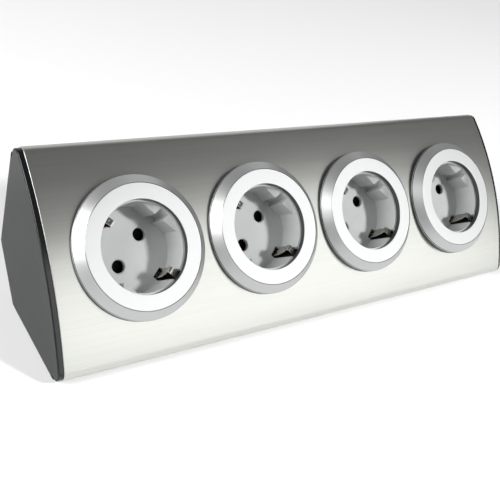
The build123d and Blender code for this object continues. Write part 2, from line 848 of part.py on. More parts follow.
def clamp_ends(v):
    """Where a line of wires meets the clamps of one socket, left and right of its centre."""
    if v == 0:
        return -earth_half_length, earth_half_length
    x = pin_places()[0][0] if v > 0 else pin_places()[1][0]
    return x - terminal_half_length, x + terminal_half_length


def make_wires(v, pole):
    """Jumpers between the sockets, and the feed from the terminal block to the last one."""
    left, right = clamp_ends(v)
    frame = face_frame(0)
    wires = []
    for x in socket_places[:-1]:
        ends = [(x + right, v, -terminal_level), (x + socket_pitch + left, v, -terminal_level)]
        wires.append(frame * wire_tube(ends))
    last = socket_places[-1]
    start = block_x - sleeve_length / 2 + core_depth
    level = pole_level() + chamfer_depth - crest
    turn = last - socket_pitch / 2 - core_depth
    route = [
        (start, pole, level),
        (turn + feed_straight, pole, level),
        (turn, (v + pole) / 2, (level - feed_level) / 2),
        (turn + feed_shift, v, -feed_level),
        (last + left, v, -feed_level),
    ]
    wires.append(frame * wire_tube(route))
    return wires


def save(name, shape):
    """Write one node; a list of solids is written as a group."""
    if isinstance(shape, list):
        shape = Compound(children=[Part() + piece for piece in shape])
    shape.label = name
    export_step(shape, "parts/" + name + ".step")


def build():
    os.makedirs("parts", exist_ok=True)
    save("front_shell", make_front_shell())
    save("rear_cover", make_rear_cover())
    cap, plate = make_end_cap(), make_end_plate()
    save("end_cap_right", cap)
    save("end_plate_right", plate)
    save("end_cap_left", mirror(cap, Plane.YZ))
    save("end_plate_left", mirror(plate, Plane.YZ))
    save("cover_screws", make_cover_screws())
    save("cap_screws", make_cap_screws())
    save("clinch_nuts", make_clinch_nuts())
    save("cable_grommet", make_cable_grommet())
    save("terminal_block", make_terminal_block())
    save("terminal_sleeves", make_terminal_sleeves())
    save("terminal_screws", make_terminal_screws())
    save("block_screw", make_block_screw())
    save("live_wires", make_wires(phase_offset, pole_pitch))
    save("neutral_wires", make_wires(-phase_offset, -pole_pitch))
    save("earth_wires", make_wires(0, 0))
    socket_parts = {
        "trim_ring": make_trim_ring(),
        "face_ring": make_face_ring(),
        "cup": make_cup(),
        "contact_base": make_contact_base(),
        "earth_bracket": make_earth_bracket(),
        "pin_contacts": make_pin_contacts(),
        "shutter": make_shutter(),
        "shutter_spring": make_shutter_spring(),
        "socket_screws": make_socket_screws(),
    }
    for name, part in socket_parts.items():
        for k, x in enumerate(socket_places):
            frame = face_frame(x)
            placed = [frame * piece for piece in part] if isinstance(part, list) else frame * part
            save(f"{name}_{k + 1}", placed)


build()
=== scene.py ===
# %% [markdown]
# A furniture socket strip stands in a corner of a worktop: a bent steel front, a chamfered
# rear cover, black end caps and four round sockets. The construction is already packed as a
# frame of solids at their real size. This lesson dresses that frame: it swaps the plain
# solids for finely edged pieces, gives every surface its finish, and lights the whole.

# %% Load the frame
import json
from math import atan2, pi, radians, sqrt, tau
import bmesh
import bpy
from mathutils import Matrix, Vector


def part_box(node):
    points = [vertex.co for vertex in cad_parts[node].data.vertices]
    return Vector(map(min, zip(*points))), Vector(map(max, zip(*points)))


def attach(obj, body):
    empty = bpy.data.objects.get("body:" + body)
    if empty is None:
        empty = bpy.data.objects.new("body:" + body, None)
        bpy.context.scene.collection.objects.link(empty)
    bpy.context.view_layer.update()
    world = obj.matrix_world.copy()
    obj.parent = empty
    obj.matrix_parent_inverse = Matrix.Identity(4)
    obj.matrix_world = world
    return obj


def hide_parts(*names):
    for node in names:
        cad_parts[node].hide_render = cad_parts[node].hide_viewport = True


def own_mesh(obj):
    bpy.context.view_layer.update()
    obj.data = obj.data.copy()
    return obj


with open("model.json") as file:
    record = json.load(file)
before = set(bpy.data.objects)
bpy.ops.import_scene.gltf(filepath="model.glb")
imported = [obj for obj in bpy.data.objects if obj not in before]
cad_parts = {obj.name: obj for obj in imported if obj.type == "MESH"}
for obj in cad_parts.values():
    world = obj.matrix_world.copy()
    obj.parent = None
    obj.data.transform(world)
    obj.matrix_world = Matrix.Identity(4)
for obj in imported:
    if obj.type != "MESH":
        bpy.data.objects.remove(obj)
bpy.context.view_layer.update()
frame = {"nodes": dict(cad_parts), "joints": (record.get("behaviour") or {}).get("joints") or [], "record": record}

MM = 0.001
mounts = {mount["name"]: mount for mount in frame["record"]["mounts"]}
slots = {part["node"]: part["material_slot"] for part in frame["record"]["subparts"]}
socket_numbers = range(1, 5)

# %% [markdown]
# The camera stands to the left of the strip and above it, and looks along the row, so the
# four sockets shrink towards the right. It could be aimed at a point, but the roll of the
# picture would then stay a guess. Instead its own three directions are given, its place is in
# millimetres, and the small shift only moves the strip within the picture.

# %% Camera
camera_place = (-271.1, -239.106, 265.276)
camera_right = (0.8066, -0.5228, 0.2758)
camera_up = (0.1561, 0.6384, 0.7538)
camera_forward = (0.5701, 0.5650, -0.5965)
lens_length, sensor_width, nearest = 56.2, 36.0, 0.01
shift_right, shift_up = 0.0068, 0.032

def studio_camera():
    data = bpy.data.cameras.new("studio_camera")
    data.lens, data.sensor_width = lens_length, sensor_width
    data.shift_x, data.shift_y = shift_right, shift_up
    data.clip_start = nearest
    camera = bpy.data.objects.new("studio_camera", data)
    turn = Matrix((camera_right, camera_up, [-part for part in camera_forward])).transposed()
    camera.matrix_world = Matrix.Translation(Vector(camera_place) * MM) @ turn.to_4x4()
    bpy.context.scene.collection.objects.link(camera)
    return camera

camera = studio_camera()
bpy.context.scene.camera = camera
bpy.context.scene.view_settings.view_transform = "Standard"
print("camera at", [round(part, 3) for part in camera.location])

# %% [markdown]
# Colours are written as the sRGB hex codes that a picture shows. Shader nodes work in linear
# light, so one function turns every code. Typing the linear numbers by hand would work too,
# but nobody can tell a colour from them.

# %% Colours
def linear(code):
    parts = [int(code[start:start + 2], 16) / 255 for start in (0, 2, 4)]
    return [
        part / 12.92 if part <= 0.04045 else ((part + 0.055) / 1.055) ** 2.4 for part in parts
    ] + [1.0]

print("white is", linear("FFFFFF")[:3], "and mid grey is", round(linear("808080")[0], 3))

# %% [markdown]
# A finish is a small tree of nodes. One function adds any node, changes its settings, sets
# its inputs and links the ones that another node feeds, and all finishes below are written
# with it. An input goes by its name, or by its number where several inputs share one name, as
# the two colours of a Mix node do.

# %% Nodes
first_colour, second_colour, mixed_colour = 6, 7, 2

def add(owner, kind, inputs=None, **settings):
    item = owner.node_tree.nodes.new("ShaderNode" + kind)
    for name, value in settings.items():
        setattr(item, name, value)
    for name, value in (inputs or {}).items():
        if isinstance(value, bpy.types.NodeSocket):
            owner.node_tree.links.new(value, item.inputs[name])
        else:
            item.inputs[name].default_value = value
    return item

def new_material(name):
    material = bpy.data.materials.new(name)
    material.use_nodes = True
    material.node_tree.nodes.clear()
    return material

def surface(material, inputs):
    """The last two nodes of every finish: the shader and the material's output."""
    shader = add(material, "BsdfPrincipled", inputs)
    add(material, "OutputMaterial", {"Surface": shader.outputs["BSDF"]})
    return material

print("node helpers ready, with", len(bpy.data.materials), "materials in the frame so far")

# %% [markdown]
# Scratches, grain and flakes all have a real size. An image could carry them, but a noise on
# the object's own coordinates needs no map and stays in place when a piece moves. Its three
# scales are worked out from spacings in millimetres. Nearly all of a noise's values lie
# between 0.3 and 0.7, so that range is the one to stretch over the range that a finish needs.

# %% Patterns of a real size
noise_range = {"From Min": 0.3, "From Max": 0.7}

def pattern(material, spacing, detail=2.0, rough=0.5):
    """Noise whose features lie the three spacings apart along X, Y and Z, in millimetres."""
    place = add(material, "TexCoord").outputs["Object"]
    scale = [1.0 / (part * MM) for part in spacing]
    scaled = add(material, "Mapping", {"Vector": place, "Scale": scale}).outputs["Vector"]
    inputs = {"Vector": scaled, "Scale": 1.0, "Detail": detail, "Roughness": rough}
    return add(material, "TexNoise", inputs).outputs["Fac"]

print("noise is stretched from", noise_range["From Min"], "to", noise_range["From Max"])

# %% [markdown]
# Brushed stainless steel: an abrasive belt draws fine straight scratches along the sheet.
# They are about 0.1 mm wide, which is finer than a pixel here, so the lines are drawn a few
# times coarser. Across the scratches a reflection smears out, along them it stays tight. Bump
# alone would need far finer lines for that, so the shader's anisotropy does it. Wider streaks
# change the roughness a little, and only a little, so that the satin sheen stays even.

# %% Brushed steel
streak_scale, streak_change = 9, 0.012
scratch_depth, scratch_strength = 0.003, 0.25

def brushed_steel(name, light, dark, grain, roughness, smear=0.0):
    """Grain is the size of a scratch along X, Y and Z, in millimetres."""
    material = new_material(name)
    scratches = pattern(material, grain, detail=3.0, rough=0.65)
    streaks = pattern(material, [part * streak_scale for part in grain], detail=1.0)
    shade = add(material, "MapRange", {**noise_range, "Value": scratches}).outputs["Result"]
    inputs = {
        "Base Color": add(material, "Mix", {
            "Factor": shade, first_colour: linear(light), second_colour: linear(dark),
        }, data_type="RGBA").outputs[mixed_colour],
        "Metallic": 1.0,
        "Roughness": add(material, "MapRange", {
            **noise_range, "Value": streaks,
            "To Min": roughness - streak_change, "To Max": roughness + streak_change,
        }).outputs["Result"],
        "Normal": add(material, "Bump", {
            "Height": scratches, "Distance": scratch_depth * MM, "Strength": scratch_strength,
        }).outputs["Normal"],
    }
    if smear:
        tangent = add(material, "Tangent", direction_type="UV_MAP", uv_map="grain")
        inputs.update({"Anisotropic": smear, "Tangent": tangent.outputs["Tangent"]})
    return surface(material, inputs)

steel_front = brushed_steel(
    "brushed_stainless_front", "CCCDC8", "C6C7C2", (60, 0.6, 0.6), roughness=0.306, smear=0.6,
)
steel_cover = brushed_steel(
    "brushed_stainless_cover", "C4C5C1", "B9BAB6", (60, 0.6, 0.6), roughness=0.37, smear=0.5,
)
steel_plate = brushed_steel(
    "dark_satin_steel_end_plate", "515452", "4B4E4C", (0.6, 30, 0.6), roughness=0.434,
)
print("steels:", steel_front.name, steel_cover.name, steel_plate.name)

# %% [markdown]
# Moulded ABS and polyamide copy the tool that they come out of. The black end caps come out
# of a polished one, so they mirror the room with a faint ripple of some 6 mm. The grey cups
# have a fine satin grain of about 0.3 mm, as a spark-eroded tool gives. Each could be a tree
# of its own, but one function makes them all from the grain's spacing and depth. It lets
# the colour and the gloss vary a little, because an even colour makes plastic look drawn.

# %% Moulded plastics
patch_scale, gloss_change = 25, 0.15

def moulded(name, light, dark, roughness, grain, depth, ior=1.53, shine=0.5):
    """Grain and depth are the spacing and the height of the surface's texture, in millimetres."""
    material = new_material(name)
    texture = pattern(material, [grain] * 3)
    patches = pattern(material, [grain * patch_scale] * 3)
    return surface(material, {
        "Base Color": add(material, "Mix", {
            "Factor": patches, first_colour: linear(light), second_colour: linear(dark),
        }, data_type="RGBA").outputs[mixed_colour],
        "Roughness": add(material, "MapRange", {
            **noise_range, "Value": texture,
            "To Min": roughness * (1 - gloss_change), "To Max": roughness * (1 + gloss_change),
        }).outputs["Result"],
        "IOR": ior,
        "Specular IOR Level": shine,
        "Normal": add(material, "Bump", {
            "Height": texture, "Distance": depth * MM, "Strength": 1.0,
        }).outputs["Normal"],
    })

black_abs = moulded(
    "polished_black_abs", "0B0B0D", "060607", roughness=0.2, grain=6.0, depth=0.004,
)
grey_polyamide = moulded(
    "satin_grey_polyamide", "B0B3B2", "A8ABAA", roughness=0.36, grain=0.3, depth=0.004,
)
base_polyamide = moulded(
    "dark_polyamide_base", "2B2B2C", "222223", roughness=0.5, grain=0.3, depth=0.006,
)
shutter_polyamide = moulded(
    "black_polyamide_shutter", "030303", "020202", roughness=0.7, grain=0.3, depth=0.005,
    shine=0.1,
)
block_polyamide = moulded(
    "natural_polyamide_block", "D9D6C6", "CFCBB9", roughness=0.4, grain=0.3, depth=0.006,
)
rubber = moulded(
    "black_rubber", "1B1B1C", "131314", roughness=0.55, grain=0.4, depth=0.01, ior=1.52,
)
brown_pvc, blue_pvc, green_pvc = [
    moulded(name, light, dark, roughness=0.35, grain=0.5, depth=0.004)
    for name, light, dark in (
        ("brown_pvc_wire", "5A3A22", "4E311C"), ("blue_pvc_wire", "1F5FA8", "1A5496"),
        ("green_pvc_wire", "5E8F1F", "548318"),
    )
]
print("plastics:", black_abs.name, grey_polyamide.name)

# %% [markdown]
# The two silver rings are plastic mouldings under a metallic lacquer: tiny aluminium flakes
# in clear varnish, so small that they only just sparkle. A plain metal would go dark wherever
# it mirrors nothing, but flakes scatter the light widely, so the shader is only partly
# metallic and has a thin clear coat on top. Shade is painted into the colour as well: faces
# that turn away from the strip's front, such as the steep walls, blend to a dark grey, a
# painted shade for the shadow that falls on them.

# %% Lacquer
# Painted shade on the rings: faces that turn away from this way blend from silver to the dark grey.
unshaded_facing = Vector((0, -1, 1)).normalized()
full_shade_below, no_shade_above = 0.1, 0.6
flake_spacing = 0.2
ripple_spacing, ripple_depth = 5.0, 0.006
varnish_share, varnish_roughness = 0.35, 0.12

def lacquer(name, painted_shade, thin, full, roughness, metallic):
    """The first colour is painted shade for the walls that turn away from the front; thin and full are the flakes'
    two silvers.
    """
    material = new_material(name)
    flakes = pattern(material, [flake_spacing] * 3, detail=1.0)
    ripple = pattern(material, [ripple_spacing] * 3)
    # Painted shade: the less a face looks along the strip's front, the more of the dark grey it gets.
    normal = add(material, "NewGeometry").outputs["Normal"]
    facing_front = add(material, "VectorMath", {0: normal, 1: unshaded_facing}, operation="DOT_PRODUCT")
    cover = add(material, "MapRange", {
        "Value": facing_front.outputs["Value"], "From Min": full_shade_below, "From Max": no_shade_above,
    }).outputs["Result"]
    silver = add(material, "Mix", {
        "Factor": flakes, first_colour: linear(full), second_colour: linear(thin),
    }, data_type="RGBA").outputs[mixed_colour]
    return surface(material, {
        "Base Color": add(material, "Mix", {
            "Factor": cover, first_colour: linear(painted_shade), second_colour: silver,
        }, data_type="RGBA").outputs[mixed_colour],
        "Metallic": metallic,
        "Roughness": roughness,
        "Coat Weight": varnish_share,
        "Coat Roughness": varnish_roughness,
        "Normal": add(material, "Bump", {
            "Height": ripple, "Distance": ripple_depth * MM, "Strength": 1.0,
        }).outputs["Normal"],
    })

# The first colour, 454747, is the painted shade on the rings' steep walls.
silver_ring = lacquer(
    "silver_lacquer_ring", "454747", "B6B7B7", "BEBFBF", roughness=0.42, metallic=0.85,
)
silver_face = lacquer(
    "silver_lacquer_face", "454747", "CBCCCC", "D1D2D2", roughness=0.32, metallic=0.55,
)
print("lacquers:", silver_ring.name, silver_face.name)

# %% [markdown]
# The clips, screws and contact sleeves are plated or plain metal with the faint pull marks of
# their making, longer than they are wide. Each could have marks of its own, but they are so
# small in the picture that one function with one spacing serves them all.

# %% Small metals
pull_marks, mark_depth = (0.4, 0.4, 3.0), 0.003
smoother, rougher = 0.04, 0.06

def plain_metal(name, light, dark, roughness):
    material = new_material(name)
    marks = pattern(material, pull_marks)
    return surface(material, {
        "Base Color": add(material, "Mix", {
            "Factor": marks, first_colour: linear(light), second_colour: linear(dark),
        }, data_type="RGBA").outputs[mixed_colour],
        "Metallic": 1.0,
        "Roughness": add(material, "MapRange", {
            **noise_range, "Value": marks,
            "To Min": roughness - smoother, "To Max": roughness + rougher,
        }).outputs["Result"],
        "Normal": add(material, "Bump", {
            "Height": marks, "Distance": mark_depth * MM, "Strength": 1.0,
        }).outputs["Normal"],
    })

nickel = plain_metal("nickel_plated_clip", "E4E0D8", "CFCBC2", roughness=0.20)
brass = plain_metal("drawn_brass", "C9A45C", "B8924C", roughness=0.30)
zinc = plain_metal("zinc_plated_steel", "B9BCC0", "A3A6AA", roughness=0.30)
print("metals:", nickel.name, brass.name, zinc.name)

# %% [markdown]
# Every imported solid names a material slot, and one table says which finish each slot gets.
# All solids are given theirs first. The ones that nothing replaces below, such as the
# shutters and the inner wires, keep their shape and show with this finish.

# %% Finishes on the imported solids
finish_of_slot = {
    "brushed_steel_front": steel_front, "brushed_steel_cover": steel_cover,
    "steel_plate": steel_plate, "black_plastic": black_abs, "silver_ring": silver_ring,
    "silver_face": silver_face, "grey_plastic": grey_polyamide, "base_plastic": base_polyamide,
    "shutter_plastic": shutter_polyamide, "nickel_clip": nickel, "brass": brass,
    "zinc_screw": zinc, "black_rubber": rubber, "white_plastic": block_polyamide,
    "brown_wire": brown_pvc, "blue_wire": blue_pvc, "green_wire": green_pvc,
}

for name, item in frame["nodes"].items():
    item.data.materials.clear()
    item.data.materials.append(finish_of_slot[slots[name]])
print("finishes given to", len(frame["nodes"]), "nodes")

# %% [markdown]
# A finished piece has its place in its mesh and its object at the origin. This helper turns
# a bmesh into such a piece and says which body carries it, which solid it stands for and
# which slot its finish comes from. A narrow rounded edge would make the flat face beside it
# look puffed, so normals are weighted by area, which keeps flat faces flat to the eye.

# %% Making a piece
crease = radians(35.0)

def even_shading(piece):
    piece.data.shade_smooth()
    piece.data.set_sharp_from_angle(angle=crease)
    even = piece.modifiers.new("even_shading", "WEIGHTED_NORMAL")
    even.keep_sharp = True

def finished(bm, name, node):
    """All pieces made here are fixed to the strip, so they ride on its root body."""
    mesh = bpy.data.meshes.new(name)
    bm.to_mesh(mesh)
    bm.free()
    mesh.materials.append(finish_of_slot[slots[node]])
    piece = bpy.data.objects.new(name, mesh)
    bpy.context.scene.collection.objects.link(piece)
    even_shading(piece)
    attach(piece, "root")
    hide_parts(node)
    return piece

print("pieces crease at", round(crease, 3), "radians")

# %% [markdown]
# Nothing that is moulded, sheared or turned has a perfectly sharp edge, and the thin bright
# line along an edge is what the eye reads as a real material. A Bevel modifier could round
# the edges too. The operator does it at once, so that the next step can work on the result.

# %% Rounding edges
def round_edges(bm, width, segments=3, angle=20.0):
    """Rounds every edge that turns by more than the angle, in the mesh's own units."""
    least = radians(angle)
    sharp = [edge for edge in bm.edges if edge.is_manifold and edge.calc_face_angle(0) > least]
    bmesh.ops.bevel(
        bm, geom=sharp, offset=width, offset_type="OFFSET", segments=segments, profile=0.5,
        affect="EDGES", material=-1, clamp_overlap=True,
    )

print("edge rounding ready")

# %% [markdown]
# The steel front is one sheet, bent round two tight noses and bulged between them. A press
# brake would draw the same line along the whole strip, so the section is drawn first, as arcs
# spun from one vertex, then pulled out along the strip and given its thickness. A curve with
# an extrusion would make the same sheet, but the arcs keep their true radii this way. The
# centre of the bulge follows from the two noses: the arc touches both.

# %% Section of the front
section, bulge, nose, sheet, lap = 77.0, 180.0, 5.0, 0.8, 12.0
strip_length = 300.0
nose_steps, bulge_steps, facing_down = 20, 40, radians(270)

half = section / 2
foot_centre = Vector((0, -half + nose, sheet + nose))
top_centre = Vector((0, half - sheet - nose, section - nose))
across = (foot_centre.y - half + foot_centre.z) / sqrt(2)
reach = (half - foot_centre.y + foot_centre.z) / sqrt(2)
crest = reach + bulge - sqrt((bulge - nose) ** 2 - across**2)
bulge_centre = Vector((0, half - crest / sqrt(2) + bulge / sqrt(2), (crest - bulge) / sqrt(2)))

def draw_section(bm):
    """The outer line of the front, from the hidden flange below to the one behind."""
    foot_angle = atan2(foot_centre.z - bulge_centre.z, foot_centre.y - bulge_centre.y) % tau
    top_angle = atan2(top_centre.z - bulge_centre.z, top_centre.y - bulge_centre.y) % tau
    turns = (
        (foot_centre, foot_angle - facing_down, nose_steps),
        (bulge_centre, top_angle - foot_angle, bulge_steps),
        (top_centre, -top_angle, nose_steps),
    )
    start = bm.verts.new((-strip_length / 2, foot_centre.y + lap, sheet))
    last = bm.verts.new((-strip_length / 2, foot_centre.y, sheet))
    bm.edges.new((start, last))
    for centre, angle, steps in turns:
        pivot = centre + Vector((-strip_length / 2, 0, 0))
        made = bmesh.ops.spin(bm, geom=[last], cent=pivot, axis=(1, 0, 0), angle=angle, steps=steps)
        last = made["geom_last"][0]
    end = bm.verts.new(last.co - Vector((0, 0, lap)))
    bm.edges.new((last, end))

print("crest of the bulge:", round(crest, 2), "mm from the corner")

# %% [markdown]
# The section is extruded along the strip. Cuts every 4 mm keep the faces short, because long
# thin ones shade unevenly and spoil the openings that are punched next. Solidify then gives
# the sheet its thickness inwards, so its faces have to point outwards first.

# %% Steel front
long_cuts, sheared_edge = 74, 0.22

def steel_skin():
    bm = bmesh.new()
    draw_section(bm)
    drawn = bmesh.ops.extrude_edge_only(bm, edges=bm.edges)["geom"]
    moved = [item for item in drawn if isinstance(item, bmesh.types.BMVert)]
    bmesh.ops.translate(bm, verts=moved, vec=(strip_length, 0, 0))
    long_edges = [edge for edge in bm.edges if edge.calc_length() > strip_length / 2]
    bmesh.ops.subdivide_edges(bm, edges=long_edges, cuts=long_cuts, use_grid_fill=True)
    bmesh.ops.recalc_face_normals(bm, faces=bm.faces)
    if sum((face.normal.z - face.normal.y) * face.calc_area() for face in bm.faces) < 0:
        bmesh.ops.reverse_faces(bm, faces=bm.faces)
    bmesh.ops.solidify(bm, geom=bm.faces, thickness=sheet)
    round_edges(bm, sheared_edge, angle=60.0)
    bmesh.ops.scale(bm, verts=bm.verts, vec=(MM, MM, MM))
    return bm

front = finished(steel_skin(), "steel_front", "front_shell")
print("steel front:", len(front.data.polygons), "faces")

# %% [markdown]
# Each socket has its own frame: its origin on the crest of the front, X along the strip and Z
# straight out of the face. Every place on a slanted face could be worked out in the strip's
# axes, but it is easier to draw a socket upright in millimetres and carry it into place with
# one matrix. The record's mounts give each socket's direction and the middle of its mouth,
# level with the top of its rings.

# %% Socket frames
ring_height = 5.1

def socket_frame(number):
    mount = mounts[f"socket_{number}"]
    out, along = Vector(mount["axis"]).normalized(), Vector((1, 0, 0))
    place = Vector(mount["pos_m"]) - out * ring_height * MM
    turn = Matrix((along, out.cross(along), out)).transposed().to_4x4()
    return Matrix.Translation(place) @ turn @ Matrix.Scale(MM, 4)

print("socket 1 at", [round(part, 4) for part in socket_frame(1).translation])

# %% [markdown]
# The openings in the steel are punched. A circle could be cut into the mesh by hand, but the
# Boolean modifier does what the press does: a round cutter for each socket, laid on its
# frame, takes the sheet away. The modifier is applied each time and the cutter removed. The
# cast ring covers the edge later.

# %% Openings in the front
opening_radius, punch_depth = 28.0, 30.0

def punch(piece):
    for number in socket_numbers:
        bm = bmesh.new()
        bmesh.ops.create_cone(
            bm, cap_ends=True, segments=96, radius1=opening_radius, radius2=opening_radius,
            depth=punch_depth, matrix=socket_frame(number),
        )
        bmesh.ops.recalc_face_normals(bm, faces=bm.faces)
        mesh = bpy.data.meshes.new("punch")
        bm.to_mesh(mesh)
        bm.free()
        cutter = bpy.data.objects.new("punch", mesh)
        bpy.context.scene.collection.objects.link(cutter)
        cut = piece.modifiers.new("punch", "BOOLEAN")
        cut.operation, cut.solver, cut.object = "DIFFERENCE", "EXACT", cutter
        bpy.context.view_layer.update()
        graph = bpy.context.evaluated_depsgraph_get()
        shaped = bpy.data.meshes.new_from_object(piece.evaluated_get(graph))
        piece.modifiers.clear()
        piece.data = shaped
        bpy.data.objects.remove(cutter)

punch(front)
even_shading(front)
print("steel front punched:", len(front.data.polygons), "faces")

# %% [markdown]
# The smear of the steel's reflections has a direction, and the shader takes it from a map of
# the surface. An unwrapped map would have seams. On the front and the cover the scratches
# run along the strip, so each corner's place in the map is read from its place in space.

# %% Direction of the brushing
def grain_map(mesh):
    """Gives the mesh a map whose first axis runs across the scratches, as the smear does."""
    layer = mesh.uv_layers.new(name="grain")
    for loop in mesh.loops:
        place = mesh.vertices[loop.vertex_index].co
        layer.data[loop.index].uv = (place.y + place.z, place.x)

grain_map(front.data)
print("maps on the front:", [layer.name for layer in front.data.uv_layers])

# %% [markdown]
# Both rings of a socket are turned shapes, a bevelled cast ring and a flat ring inside it.
# Stacked cylinders could stand in for them, but a half section spun once round the axis gives
# each its true profile, and a short list of corners is enough for that. The corners are then
# rounded finely, or the rings would look cut from card.

# %% Turned shapes
ring_steps, ring_weld = 160, 0.0001

def turned(corners):
    """A closed half section, as radius and height pairs, spun round the socket's axis."""
    bm = bmesh.new()
    verts = [bm.verts.new((radius, 0, height)) for radius, height in corners]
    for first, second in zip(verts, verts[1:] + verts[:1]):
        bm.edges.new((first, second))
    bmesh.ops.spin(
        bm, geom=bm.verts[:] + bm.edges[:], cent=(0, 0, 0), axis=(0, 0, 1), angle=tau,
        steps=ring_steps, use_merge=True,
    )
    bmesh.ops.remove_doubles(bm, verts=bm.verts, dist=ring_weld)
    bmesh.ops.recalc_face_normals(bm, faces=bm.faces)
    return bm

print("turned shapes have", ring_steps, "steps")

# %% [markdown]
# The cast ring stands on the bulged steel, so its underside can't be flat. It is turned with
# a foot that is too deep, and then each low vertex is lifted to the height that the bulge has
# there, as a casting is machined to its seat. A small ledge above the steel draws the thin
# dark line round the ring. The flat ring lies in it, down to the mouth of the cup.

# %% Rings
cast_outside, cast_inside, seat_inside, seat_height = 33.6, 29.3, 26.9, 3.1
foot_depth, foot_height = -4.0, 1.0
ledge_width, ledge_foot, ledge_step, ledge_top = 0.25, 0.65, 0.7, 1.4
mouth, flat_outside, lip_width, lip_height = 21.75, 29.1, 1.5, 2.1
cast_rounding, flat_rounding = 0.1, 0.22

def panel_height(across_face):
    """Height of the bulged front above or below its crest."""
    return sqrt(bulge**2 - across_face**2) - bulge

def trim_ring(number):
    bevel_foot = cast_outside - ledge_width
    bm = turned([
        (seat_inside, foot_depth), (cast_outside, foot_depth), (cast_outside, ledge_foot),
        (bevel_foot, ledge_step), (bevel_foot, ledge_top), (cast_inside, ring_height),
        (cast_inside, seat_height), (seat_inside, seat_height),
    ])
    round_edges(bm, cast_rounding)
    for vert in bm.verts:
        if vert.co.z < foot_depth + foot_height:
            vert.co.z = panel_height(vert.co.y)
    bm.transform(socket_frame(number))
    return finished(bm, f"cast_ring_{number}", f"trim_ring_{number}")

def face_ring(number):
    bm = turned([
        (mouth, lip_height), (mouth + lip_width, lip_height), (mouth + lip_width, seat_height),
        (flat_outside, seat_height), (flat_outside, ring_height), (mouth, ring_height),
    ])
    round_edges(bm, flat_rounding)
    bm.transform(socket_frame(number))
    return finished(bm, f"flat_ring_{number}", f"face_ring_{number}")

for number in socket_numbers:
    cast, flat = trim_ring(number), face_ring(number)
print("rings:", len(cast.data.polygons), "and", len(flat.data.polygons), "faces each")

# %% [markdown]
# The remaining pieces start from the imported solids. Those are loose triangles, which can't be
# bevelled. Merging the doubled vertices makes one shell of them, and dissolving what is flat
# makes whole faces, so that only true edges are left.

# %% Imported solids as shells
shell_weld, flat_within = 0.0005, 0.4

def merged(node):
    bm = bmesh.new()
    bm.from_mesh(frame["nodes"][node].data)
    bmesh.ops.remove_doubles(bm, verts=bm.verts, dist=shell_weld * MM)
    bmesh.ops.dissolve_limit(bm, angle_limit=radians(flat_within), verts=bm.verts, edges=bm.edges)
    return bm

print("shells keep edges that turn by more than", flat_within, "degrees")

# %% [markdown]
# An end cap is moulded in black plastic. Only the rim shows: a band with a rounded outer edge
# and a shallow pocket that holds the steel plate. A bevel of the whole packed cap would keep
# its uneven facets, and a polished band shows each of them as a zigzag. So the cap is cut
# through the middle of its rim, the open outline is drawn out again to full height, and the
# new edge is rounded in even steps.

# %% End caps
rim_inside, rim_outside = strip_length / 2, 152.4
rim_rounding, rim_steps, cut_within = 0.6, 8, 0.001
pocket_depth, pocket_draft = 0.65, 0.03

def end_cap(side):
    way = 1 if side == "right" else -1
    bm = merged(f"end_cap_{side}")
    middle = (rim_inside + rim_outside) / 2 - rim_rounding / 2
    cut = bmesh.ops.bisect_plane(
        bm, geom=bm.verts[:] + bm.edges[:] + bm.faces[:], dist=cut_within * MM,
        plane_co=(way * middle * MM, 0, 0), plane_no=(way, 0, 0), clear_outer=True,
    )["geom_cut"]
    outline = [item for item in cut if isinstance(item, bmesh.types.BMEdge)]
    drawn = bmesh.ops.extrude_edge_only(bm, edges=outline)["geom"]
    moved = [item for item in drawn if isinstance(item, bmesh.types.BMVert)]
    bmesh.ops.translate(bm, verts=moved, vec=(way * (rim_outside - middle) * MM, 0, 0))
    border = [edge for edge in bm.edges if edge.is_boundary]
    bmesh.ops.contextual_create(bm, geom=border)
    bmesh.ops.recalc_face_normals(bm, faces=bm.faces)
    bmesh.ops.bevel(
        bm, geom=border, offset=rim_rounding * MM, offset_type="OFFSET", segments=rim_steps,
        profile=0.5, affect="EDGES", material=-1, clamp_overlap=True,
    )
    pocket = max(bm.faces, key=lambda face: way * face.calc_center_median().x)
    bmesh.ops.inset_region(bm, faces=[pocket], thickness=pocket_draft * MM, use_even_offset=True)
    bmesh.ops.translate(bm, verts=pocket.verts, vec=(-way * pocket_depth * MM, 0, 0))
    open_edges = sum(not edge.is_manifold for edge in bm.edges)
    piece = finished(bm, f"moulded_cap_{side}", f"end_cap_{side}")
    print(piece.name, len(piece.data.polygons), "faces,", open_edges, "open edges")

for side in ("left", "right"):
    end_cap(side)

# %% [markdown]
# Cups, plates, cover, screws and clips already have their true shape in the frame, so
# drawing them again would only add mistakes. A merged copy of each gets the small radius, in
# millimetres, that a mould, a shear or a thread roller leaves on its hard edges.

# %% Finely edged copies
edge_radii = {
    "rear_cover": 0.12, "end_plate_left": 0.12, "end_plate_right": 0.12, "cable_grommet": 0.3,
    "cover_screws": 0.06, "cap_screws": 0.06,
}
for number in socket_numbers:
    edge_radii.update({f"cup_{number}": 0.12, f"earth_bracket_{number}": 0.12})

for node, radius in edge_radii.items():
    bm = merged(node)
    round_edges(bm, radius * MM, segments=2, angle=30.0)
    piece = finished(bm, "fine_" + node, node)
    grain_map(piece.data)
    print(piece.name, len(piece.data.polygons), "faces")

# %% [markdown]
# Behind each cup a small wire spring pushes the shutter shut. A Screw modifier could wind it.
# The spin operator does the same in one call when it also moves a little along its axis at
# each step. The spring is laid along the shutter's sliding joint, in the middle of the room
# that its packed solid takes.

# %% Shutter springs
spring_length, spring_radius, spring_wire = 12.0, 1.2, 0.36
spring_turns, steps_in_turn = 8, 20
spring_gap, shutter_travel = 0.25, 7.4

